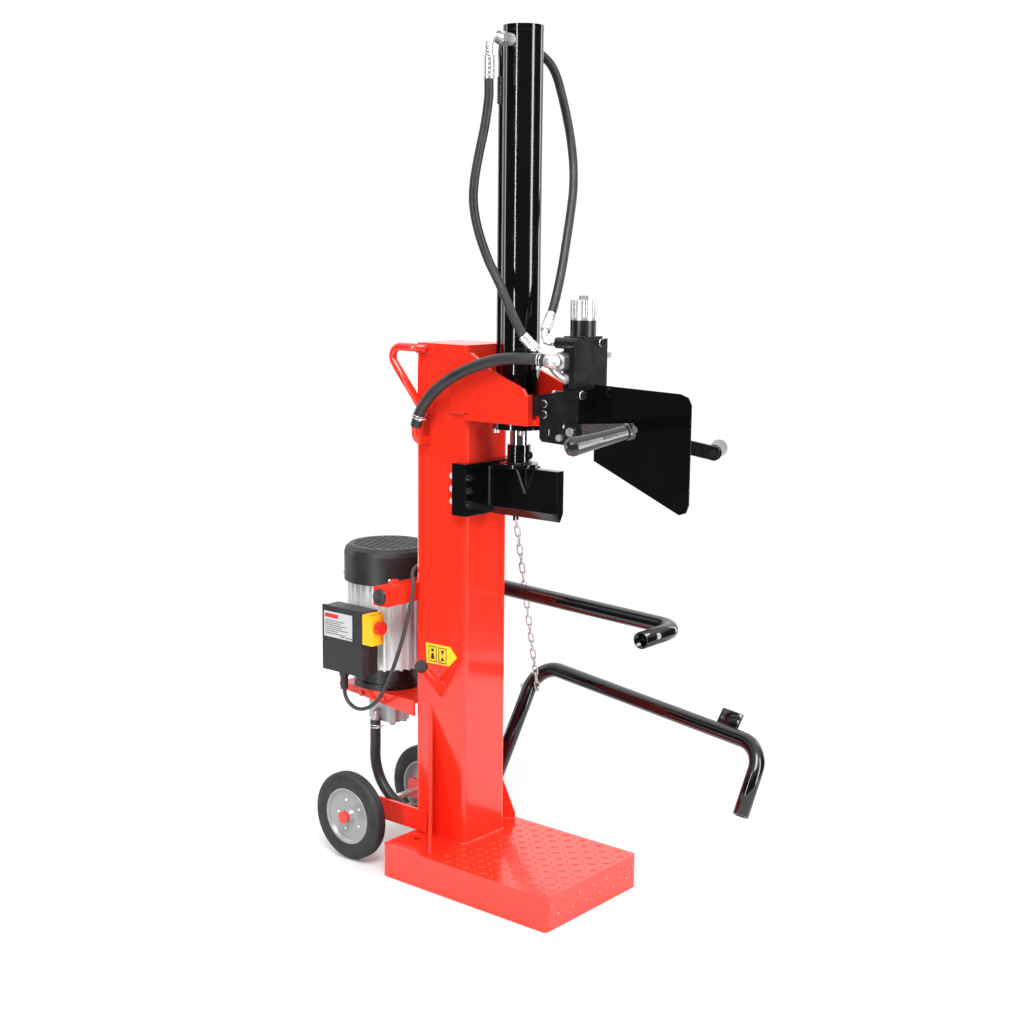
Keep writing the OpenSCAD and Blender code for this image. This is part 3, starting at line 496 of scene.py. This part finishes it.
def add_hoses():
    add_hose("upper_hose", "hose_upper", UPPER_HOSE, 0.0095)
    add_hose("lower_hose", "hose_lower", LOWER_HOSE, 0.0095)
    add_hose("return_hose", "hose_return", RETURN_HOSE, 0.0125)
    add_hose("suction_hose", "hose_suction", SUCTION_HOSE, 0.0125)
    add_hose("pressure_hose", "hose_pressure", PRESSURE_HOSE, 0.0095)
    add_hose("motor_lead", "cable", LEAD, 0.0045, "cable_rubber")


# ---------- tubes, wheels, chain ----------

ARM_ROUTE = [(88, 257, 640), (133, 257, 640), (133, -347, 616), (-3, -347, 616)]
LIFTER_ROUTE = [(22, 0, 0), (350, 0, 0), (274, -665, 0), (114, -665, 0)]
ARM_RADIUS, ARM_WALL = 0.018, 0.003
LIFTER_PLACE = Matrix.Translation(mm(183, 215, 98)) @ Matrix.Rotation(-math.radians(57), 4, "Y")


def add_tubes():
    arm = rounded([mm(*p) for p in ARM_ROUTE], 0.042, 10)
    stem = hollow([mm(x, 257, 640) for x in (-150, -40, 88)], ARM_RADIUS, ARM_WALL)
    shape = join(stem, hollow(arm, ARM_RADIUS, ARM_WALL))
    add_piece("support_arm_tube", *shape, "black_paint", "arm", ["support_arm"])
    lifter = rounded([mm(*p) for p in LIFTER_ROUTE], 0.062, 12)
    tab = moved(block(mm(15, -28, -3), mm(53, 28, 3), 0.001),
                Matrix.Translation(mm(286, -560, 0)) @ Matrix.Rotation(-math.radians(6.5), 4, "Z"))
    boss = moved(lathe([(0.0071, -0.0134), (0.0142, -0.0134), (0.015, -0.0126), (0.015, 0.0296),
                        (0.0142, 0.0304), (0.0071, 0.0304)], 40),
                 Matrix.Rotation(math.radians(90), 4, "X"))
    neck = block(mm(6, -28, -12), mm(26, 12, 12), 0.002)
    shape = moved(join(hollow(lifter, ARM_RADIUS, ARM_WALL), tab, boss, neck), LIFTER_PLACE)
    add_piece("lifter_loop", *shape, "black_paint", "lifter", ["lifter_tube"])
    bolt = join(moved(lathe([(0, 0), (0.0027, 0), (0.0027, 0.05), (0, 0.05)], 20),
                      along(mm(285, -30.4, 0), mm(285, 24, 0))),
                moved(lathe([(0, 0), (0.006, 0), (0.007, 0.001), (0.007, 0.003), (0, 0.003)], 24),
                      along(mm(285, -33.4, 0), mm(285, 24, 0))),
                moved(hex_nut(0.015, 0.007), along(mm(285, 18, 0), mm(285, 25, 0))))
    add_piece("lifter_bolt", *moved(bolt, LIFTER_PLACE), "zinc", "lifter", smooth=False)
    grip = rounded([mm(-61.2, 196, 1190), mm(-61.2, 322, 1190), mm(-61.2, 196, 1042)], 0.022, 10)
    add_piece("transport_handle", *sweep(grip, 0.009, 24), "red_paint", "frame", ["handle"])


def hex_nut(across, height):
    """A hexagon nut or head with chamfered corners, standing on Z = 0."""
    corner = across / 2 / math.cos(math.pi / 6)
    verts, faces = [], []
    for z, scale in ((0, 0.94), (height * 0.12, 1), (height * 0.85, 1), (height, 0.9)):
        verts += [(corner * scale * math.cos(math.pi / 3 * j), corner * scale * math.sin(math.pi / 3 * j), z)
                  for j in range(6)]
    faces = [tuple(range(5, -1, -1)), tuple(18 + j for j in range(6))]
    for i in range(3):
        for j in range(6):
            q = (j + 1) % 6
            faces.append((i * 6 + j, i * 6 + q, i * 6 + 6 + q, i * 6 + 6 + j))
    return verts, faces


def add_wheels():
    """Solid tyres with grooves and sidewall rings on pressed rims with rivets."""
    tread = [(66, 4), (69, 2.2), (74, 1.6), (76, 0.8), (88, 0.2), (90, 1.2), (94, 1.6), (98, 3.2),
             (101.4, 6.4), (102.6, 9), (102.9, 12), (101.6, 12.6), (101.6, 13.6), (102.9, 14.2),
             (102.9, 16.4), (101.6, 16.9)]
    tread += [(r, 34 - x) for r, x in reversed(tread)]
    rim = [(8.1, 0.2), (14.5, 0.2), (16, 1.2), (16.6, 12), (20, 13.4), (30, 14.6), (42, 12.6), (46, 11.2),
           (56, 11.6), (59, 9.6), (61, 4.6), (63.5, 2.4), (66, 2.8), (66, 31.2), (61, 30), (58, 18),
           (44, 17), (30, 19), (16, 21), (16, 33.8), (8.1, 33.8)]
    for side, x, turn in (("left", -155, 90), ("right", 141, -90)):
        place = Matrix.Translation(mm(x, 362, 105)) @ Matrix.Rotation(math.radians(turn), 4, "Y")
        body = "wheel_" + side
        shape = lathe([(r / 1000, h / 1000) for r, h in tread], 96)
        add_piece(f"tyre_{side}", *moved(shape, place), "tyre", body, [f"wheel_{side}_tyre"])
        disc = lathe([(r / 1000, h / 1000) for r, h in rim], 80)
        add_piece(f"rim_{side}", *moved(disc, place), "rim_grey", body, [f"wheel_{side}_rim"])
        rivets = []
        for i in range(5):
            spin = Matrix.Rotation(math.radians(72 * i + 20), 4, "Z") @ Matrix.Translation(mm(36, 0, 10.4))
            head = lathe([(0, 0), (0.0026, 0.0003), (0.004, 0.0016), (0.0044, 0.004), (0, 0.004)], 20)
            rivets.append(moved(head, place @ spin))
        add_piece(f"rivets_{side}", *join(*rivets), "zinc", body)


def add_chain():
    """Welded links from the carriage eye down to the lifter bolt."""
    start, end = mm(101, 71.5, 810.5), mm(339.3, 190.7, 334.4)
    count, bend, wire = 20, 0.0057, 0.0018
    pitch = (end - start).length / count
    straight = (pitch + 0.0076) / 2 - wire - bend
    slope = (end - start).to_track_quat("Z", "Y").to_matrix().to_4x4()
    shapes = []
    for i in range(count):
        centre = start.lerp(end, (i + 0.5) / count)
        heading = math.radians(90 if i % 2 == 0 else 0) + rng.uniform(-0.12, 0.12)
        loop = []
        for j in range(20):
            turn = 2 * math.pi * (j + 0.5) / 20
            lift = straight if math.sin(turn) > 0 else -straight
            loop.append(Vector((bend * math.cos(turn), 0, bend * math.sin(turn) + lift)))
        place = Matrix.Translation(centre) @ slope @ Matrix.Rotation(heading, 4, "Z")
        shapes.append(moved(sweep(loop, wire, 10, closed=True), place))
    piece = add_piece("chain_links", *join(*shapes), "chain_zinc", "carriage", ["chain"])
    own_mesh(piece)


# ---------- small detail ----------

def add_tread_plate():
    """Raised bars of the tread plate on the top and front of the base."""
    shapes = []

    def bar(place, turn):
        length, width, height = 0.0098, 0.0027, 0.0015
        outline = [(-1, 0), (-0.6, -0.8), (0, -1), (0.6, -0.8), (1, 0), (0.6, 0.8), (0, 1), (-0.6, 0.8)]
        verts = [(a * length, b * width, -0.0004) for a, b in outline]
        verts += [(a * length * 0.74, b * width * 0.36, height) for a, b in outline]
        faces = [tuple(8 + j for j in range(8))]
        faces += [(j, (j + 1) % 8, 8 + (j + 1) % 8, 8 + j) for j in range(8)]
        shapes.append(moved((verts, faces), place @ Matrix.Rotation(math.radians(turn), 4, "Z")))

    step = 0.0245
    for i in range(-6, 7):
        for j in range(-9, 10):
            x, y = i * step, j * step
            on_column = -0.066 < x < 0.102 and y > 0.072
            on_brace = abs(x) > 0.05 and 0.09 < y < 0.205
            on_anchor = math.hypot(x + 0.09, y - 0.197) <= 0.022
            if not (on_column or on_brace or on_anchor):
                bar(Matrix.Translation((x, y, 0.076)), 45 if (i + j) % 2 else -45)
        for j in range(2):
            front = Matrix.Translation((i * step, -0.236, 0.029 + j * step)) @ Matrix.Rotation(
                math.radians(90), 4, "X")
            bar(front, 45 if (i + j) % 2 else -45)
    add_piece("tread_bars", *join(*shapes), "red_paint", "frame")


def add_weld(name, points, radius, slot, body="frame"):
    """A rippled weld bead along the points, half sunk in the joint."""
    route, radii = [], []
    for a, b in zip(points, points[1:]):
        count = max(2, int((b - a).length / 0.0016))
        for i in range(count):
            route.append(a.lerp(b, i / count))
            radii.append(radius * (1 + 0.16 * math.sin(len(radii) * 1.9) + rng.uniform(-0.06, 0.06)))
    route.append(points[-1])
    radii.append(radius * 0.6)
    add_piece(name, *sweep(route, radii, 8), slot, body)


def add_welds():
    red, black = "red_paint", "black_paint"
    add_weld("weld_column", [mm(-43, 236.5, 77), mm(-52.5, 228, 77), mm(-52.5, 95, 77), mm(-44, 86.5, 77),
                             mm(80, 86.5, 77), mm(88.5, 95, 77), mm(88.5, 228, 77)], 0.0034, red)
    for side, x, out in (("left", -60, -1), ("right", 96, 1)):
        inset = x - 8 * out
        add_weld(f"weld_head_{side}", [mm(inset, 129, 1186), mm(inset, 129, 1056), mm(inset, 90, 1055)],
                 0.0034, red)
    add_weld("weld_brace_left_foot", [mm(-56, 181, 77), mm(-147, 101.5, 77)], 0.0032, red)
    add_weld("weld_brace_left_side", [mm(-53, 184.6, 82), mm(-53, 184.6, 376)], 0.003, red)
    add_weld("weld_brace_right_foot", [mm(92, 181, 77), mm(150, 104, 77)], 0.0032, red)
    add_weld("weld_arm_socket", [mm(-50, 237, 661.5), mm(84, 237, 661.5)], 0.003, red)
    add_weld("weld_blade_left", [mm(6.4, 69.4, 852), mm(6.4, 69.4, 938)], 0.0046, black, "carriage")
    add_weld("weld_blade_right", [mm(29.6, 69.4, 852), mm(29.6, 69.4, 938)], 0.0046, black, "carriage")
    turns = [math.radians(a) for a in range(0, 361, 15)]
    add_weld("weld_coupling", [mm(18 + 26.5 * math.cos(a), -3 + 26.5 * math.sin(a), 950) for a in turns],
             0.0026, black, "carriage")
    add_weld("weld_handle_top", [mm(-52.6, 196, 1180), mm(-52.6, 234, 1180)], 0.0026, red)
    place = Matrix.Translation(mm(-52, 159, 428)) @ Matrix.Rotation(-math.radians(90), 4, "Y")
    turns = [math.radians(a) for a in range(0, 361, 12)]
    add_weld("weld_filler", [place @ mm(18.2 * math.cos(a), 13.1 * math.sin(a), 0.6) for a in turns],
             0.0024, red)
    for side, x in (("left", 6.4), ("right", 29.6)):
        for face, y in (("front", -32.6), ("rear", -25.4)):
            add_weld(f"weld_gusset_{side}_{face}", [mm(x, y, 939), mm(x, y, 885)], 0.0022, black, "carriage")


def add_clamps():
    """Twin-wire hose clamps with a screw."""
    spots = [("return_a", RETURN_HOSE, 0.10, 13.2), ("return_b", RETURN_HOSE, 0.93, 13.2),
             ("suction_a", SUCTION_HOSE, 0.05, 13.2), ("suction_b", SUCTION_HOSE, 0.9, 13.2)]
    for name, route, share, radius in spots:
        points = smooth_route([mm(*p) for p in route], 8)
        spot = int(share * (len(points) - 1))
        place = along(points[spot], points[spot + 1])
        shapes = []
        for lift in (-0.003, 0.003):
            shapes.append(sweep(circle(radius / 1000, lift), 0.0011, 8, closed=True))
        ear = mm(0, -radius - 3, 0)
        shapes.append(moved(lathe([(0, -0.009), (0.0018, -0.009), (0.0018, 0.009), (0, 0.009)], 12),
                            Matrix.Translation(ear) @ Matrix.Rotation(math.radians(90), 4, "Y")))
        shapes.append(moved(hex_nut(0.007, 0.004), Matrix.Translation(ear + mm(7, 0, 0))
                            @ Matrix.Rotation(math.radians(90), 4, "Y")))
        add_piece(f"clamp_{name}", *moved(join(*shapes), place), "zinc", "frame")


def add_crimps():
    """Pressed ridges of the black crimp beside the barrel, and of the three zinc ferrules."""
    spans = [("black_paint", mm(10, 48, 1708), mm(10, 48, 1756), 0.0092, 9, 0.0013),
             ("zinc", mm(-92, -3, 1750), mm(-92, -3, 1786), 0.0114, 5, 0.0007),
             ("zinc", mm(-56, -75.6, 1223), mm(-44, -94.8, 1203), 0.0114, 4, 0.0007),
             ("zinc", mm(-11, -106.8, 1268), mm(-29, -110.3, 1245), 0.0109, 5, 0.0007)]
    for number, (slot, start, end, radius, count, wire) in enumerate(spans):
        place = along(start, end)
        shapes = []
        for i in range(count):
            lift = (end - start).length * i / (count - 1)
            shapes.append(sweep(circle(radius, lift), wire, 8, closed=True))
        add_piece(f"crimp_{number}", *moved(join(*shapes), place), slot, "frame")


def add_washers():
    """Bright washers under the black socket heads of the valve group."""
    shapes = []
    for place, normal, radius in ((mm(-44.3, -118, 1067), mm(-1, 0, 0), 0.0078),
                                  (mm(-44.3, -118, 1089), mm(-1, 0, 0), 0.0078),
                                  (mm(41, -201.3, 1216), mm(0, -1, 0), 0.0077),
                                  (mm(-31.5, -207.3, 1112), mm(0, -1, 0), 0.0082)):
        ring = sweep(circle(radius, 0), 0.0009, 8, closed=True)
        shapes.append(moved(ring, along(place, place + normal)))
    add_piece("socket_washers", *join(*shapes), "zinc", "frame")


def add_markings():
    """Plain sticker with a generic pictogram, and a plain rating plate with ruled lines."""
    yellow = material("sticker_yellow", (0.92, 0.6, 0.02), 0.35, tint=0.03, vary=0.05, bump=0.03)
    ink = material("sticker_black", (0.02, 0.02, 0.02), 0.4, tint=0.1, vary=0.05, bump=0.03)
    pale = material("label_pale", (0.5, 0.51, 0.52), 0.35, tint=0.04, vary=0.05, bump=0.03)
    grey = material("label_grey", (0.12, 0.12, 0.13), 0.4, tint=0.1, vary=0.05, bump=0.03)
    red = material("label_red", (0.62, 0.02, 0.02), 0.4, tint=0.05, vary=0.05, bump=0.03)

    def plate(x0, x1, outline):
        count = len(outline)
        verts = [mm(x, y, z) for x in (x0, x1) for y, z in outline]
        faces = [tuple(range(count)), tuple(range(2 * count - 1, count - 1, -1))]
        faces += [(j, count + j, count + (j + 1) % count, (j + 1) % count) for j in range(count)]
        return verts, faces

    def box(y0, y1, z0, z1):
        return [(y0, z0), (y1, z0), (y1, z1), (y0, z1)]

    arrow = [(205, 528), (132, 529), (111, 508), (134, 484), (202, 482)]
    add_piece("sticker", *plate(-52.6, -51.9, arrow), None, "frame", smooth=False, finish=yellow)
    signs = [plate(-52.9, -52.5, p) for p in (
        box(196, 172, 487, 489), box(196, 172, 523, 521), box(196, 194, 489, 521), box(174, 172, 489, 521),
        box(166, 142, 487, 489), box(166, 142, 523, 521), box(166, 164, 489, 521), box(144, 142, 489, 521),
        [(190, 493), (178, 493), (181, 507), (187, 507)], [(188, 510), (180, 510), (180, 517), (188, 517)],
        [(160, 493), (148, 493), (154, 502)], [(160, 517), (148, 517), (154, 506)])]
    add_piece("sticker_signs", *join(*signs), None, "frame", smooth=False, finish=ink)
    plain = plate(-129.5, -128.9, box(454, 362, 517, 577))
    add_piece("rating_plate", *plain, None, "frame", smooth=False, finish=pale)
    rows = [plate(-129.9, -129.4, box(450, 450 - width, z, z + 1.6))
            for width, z in ((62, 555), (48, 550), (70, 545), (55, 540), (74, 535), (40, 530), (66, 525))]
    rows += [plate(-129.9, -129.4, box(y, y - 12, 521, 523)) for y in (400, 384, 372)]
    add_piece("rating_rows", *join(*rows), None, "frame", smooth=False, finish=grey)
    head = plate(-129.9, -129.4, box(450, 408, 563, 572))
    add_piece("rating_head", *head, None, "frame", smooth=False, finish=red)


def add_screws():
    """Screw heads around the fan cover and the arm's end plug."""
    shapes = []
    for angle in (45, 135, 225, 315):
        turn = math.radians(angle)
        place = along(mm(18 + 103 * math.cos(turn), 388 + 103 * math.sin(turn), 654),
                      mm(18 + 120 * math.cos(turn), 388 + 120 * math.sin(turn), 654))
        screw = lathe([(0, 0.004), (0.003, 0.0036), (0.0042, 0.0024), (0.0042, 0), (0, 0)], 20)
        shapes.append(moved(screw, place))
    add_piece("cover_screws", *join(*shapes), "zinc", "frame")
    cap = lathe([(0, 0.0), (0.0165, 0.0), (0.018, 0.0015), (0.018, 0.005), (0, 0.005)], 40)
    place = along(mm(-152.5, 257, 640), mm(0, 257, 640))
    add_piece("arm_end_cap", *moved(cap, place), "black_plastic", "arm")


# ---------- build ----------

add_camera()
add_hoses()
add_stage()
paint_frame()
add_tubes()
add_wheels()
add_chain()
add_tread_plate()
add_welds()
add_clamps()
add_crimps()
add_washers()
add_markings()
add_screws()
